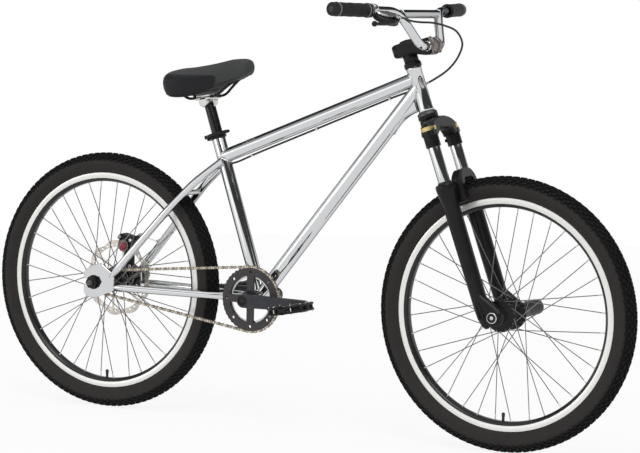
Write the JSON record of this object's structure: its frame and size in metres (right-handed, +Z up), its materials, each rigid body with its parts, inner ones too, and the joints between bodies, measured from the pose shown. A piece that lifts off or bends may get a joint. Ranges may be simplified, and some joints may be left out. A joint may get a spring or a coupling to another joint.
{
  "type": "dirt jump bike",
  "caption": "Dirt jump bike with a plated steel frame, suspension fork, knobbed tyres, platform pedals, rear disc brake and foot pegs on the left side.",
  "frame": {"origin": "on the ground, midway between the two axles, on the centre plane of the frame", "axes": "+X forward to the front wheel, +Y to the left of the rider, +Z up"},
  "size_m": [1.831, 0.7124, 1.0888],
  "materials": {
    "chrome_plate": "mirror plated steel",
    "polished_alloy": "polished",
    "black_alloy": "satin black",
    "ring_alloy": "satin dark grey-brown",
    "crank_steel": "satin dark grey",
    "tyre_rubber": "matte black, knobbed tread",
    "tube_rubber": "matte black",
    "grip_rubber": "matte charcoal",
    "dark_steel": "dark satin",
    "chain_steel": "oiled bronze-grey",
    "rotor_steel": "brushed",
    "red_plastic": "satin red",
    "housing_plastic": "satin black",
    "saddle_cover": "black synthetic leather"
  },
  "bodies": {
    "frame": {"head_tube": "chrome_plate", "seat_tube": "chrome_plate", "bottom_bracket_shell": "chrome_plate", "top_tube": "chrome_plate", "down_tube": "chrome_plate", "dropout_left": "chrome_plate", "dropout_right": "chrome_plate", "chainstay_left": "chrome_plate", "chainstay_right": "chrome_plate", "seatstay_left": "chrome_plate", "seatstay_right": "chrome_plate", "seatstay_bridge": "chrome_plate", "headset_lower_cup": "black_alloy", "headset_upper_cup": "black_alloy", "seat_collar": "black_alloy", "chain": "chain_steel", "brake_housing_rear": "housing_plastic", "brake_caliper": "black_alloy", "rear_axle": "dark_steel", "rear_peg": "black_alloy"},
    "steering": {"fork_crown": "black_alloy", "stanchion_left": "chrome_plate", "stanchion_right": "chrome_plate", "stem": "black_alloy", "stem_faceplate": "crank_steel", "handlebar": "chrome_plate", "grip_left": "grip_rubber", "grip_right": "grip_rubber", "brake_lever_perch": "black_alloy", "brake_housing_front": "housing_plastic"},
    "brake_lever": {"brake_lever": "black_alloy"},
    "fork_lowers": {"fork_lowers": "black_alloy", "front_axle": "dark_steel", "front_peg": "dark_steel"},
    "front_wheel": {"front_hub": "black_alloy", "front_spokes_left": "dark_steel", "front_spokes_right": "dark_steel", "front_rim": "polished_alloy", "front_inner_tube": "tube_rubber", "front_tyre": "tyre_rubber"},
    "rear_wheel": {"rear_hub": "black_alloy", "rear_spokes_left": "dark_steel", "rear_spokes_right": "dark_steel", "rear_rim": "polished_alloy", "rear_inner_tube": "tube_rubber", "rear_tyre": "tyre_rubber", "brake_rotor": "rotor_steel"},
    "freewheel": {"freewheel_cog": "dark_steel"},
    "crankset": {"chainring": "ring_alloy", "crank_arm_right": "crank_steel", "crank_arm_left": "crank_steel"},
    "pedal_right": {"pedal_right": "black_alloy"},
    "pedal_left": {"pedal_left": "black_alloy"},
    "caliper_arm": {"brake_caliper_arm": "polished_alloy"},
    "adjuster_knob": {"brake_adjuster_knob": "red_plastic"},
    "seatpost": {"seatpost": "black_alloy", "seatpost_clamp": "polished_alloy", "saddle_rails": "black_alloy", "saddle": "saddle_cover"},
    "seat_clamp_lever": {"seat_clamp_lever": "black_alloy"}
  },
  "joints": [
    {"name": "steering", "type": "hinge", "parent": "frame", "child": "steering", "pos_m": [0.53164, 0, 0.32131], "axis": [-0.342, 0, 0.9397], "range_deg": [-75, 75], "deforming": ["brake_housing_front"]},
    {"name": "fork_travel", "type": "slide", "parent": "steering", "child": "fork_lowers", "axis": [-0.342, 0, 0.9397], "range_m": [0, 0.08], "stiffness_N_per_m": 9000, "springref_m": -0.02},
    {"name": "front_wheel_spin", "type": "hinge", "parent": "fork_lowers", "child": "front_wheel", "pos_m": [0.5775, 0, 0.338], "axis": [0, 1, 0], "continuous": true},
    {"name": "rear_wheel_spin", "type": "hinge", "parent": "frame", "child": "rear_wheel", "pos_m": [-0.5775, 0, 0.338], "axis": [0, 1, 0], "continuous": true},
    {"name": "crank_spin", "type": "hinge", "parent": "frame", "child": "crankset", "pos_m": [-0.11266, 0, 0.326], "axis": [0, 1, 0], "continuous": true},
    {"name": "freewheel_spin", "type": "hinge", "parent": "frame", "child": "freewheel", "pos_m": [-0.5775, 0, 0.338], "axis": [0, 1, 0], "continuous": true},
    {"name": "pedal_right_spin", "type": "hinge", "parent": "crankset", "child": "pedal_right", "pos_m": [0.06234, 0, 0.326], "axis": [0, 1, 0], "continuous": true},
    {"name": "pedal_left_spin", "type": "hinge", "parent": "crankset", "child": "pedal_left", "pos_m": [-0.28765, 0, 0.326], "axis": [0, 1, 0], "continuous": true},
    {"name": "brake_lever_pull", "type": "hinge", "parent": "steering", "child": "brake_lever", "pos_m": [0.35199, -0.18087, 1.04448], "axis": [-0.4226, 0.0736, -0.9033], "range_deg": [0, 20], "stiffness_Nm_per_rad": 0.6, "springref_deg": -11.46},
    {"name": "caliper_arm_pull", "type": "hinge", "parent": "frame", "child": "caliper_arm", "pos_m": [-0.55536, 0.0738, 0.42678], "axis": [0, 1, 0], "range_deg": [0, 20]},
    {"name": "pad_adjuster", "type": "hinge", "parent": "frame", "child": "adjuster_knob", "pos_m": [-0.55536, 0.033, 0.42678], "axis": [0, 1, 0], "range_deg": [-180, 180]},
    {"name": "seat_height", "type": "slide", "parent": "frame", "child": "seatpost", "axis": [-0.3173, 0, 0.9483], "range_m": [-0.06, 0.08]},
    {"name": "seat_clamp_open", "type": "hinge", "parent": "frame", "child": "seat_clamp_lever", "pos_m": [-0.27105, -0.0163, 0.73011], "axis": [0.3173, 0, -0.9483], "range_deg": [0, 140]}
  ],
  "couplings": [
    {"joint": "freewheel_spin", "follows": "crank_spin", "ratio": 2.9286},
    {"joint": "caliper_arm_pull", "follows": "brake_lever_pull", "ratio": 1}
  ]
}
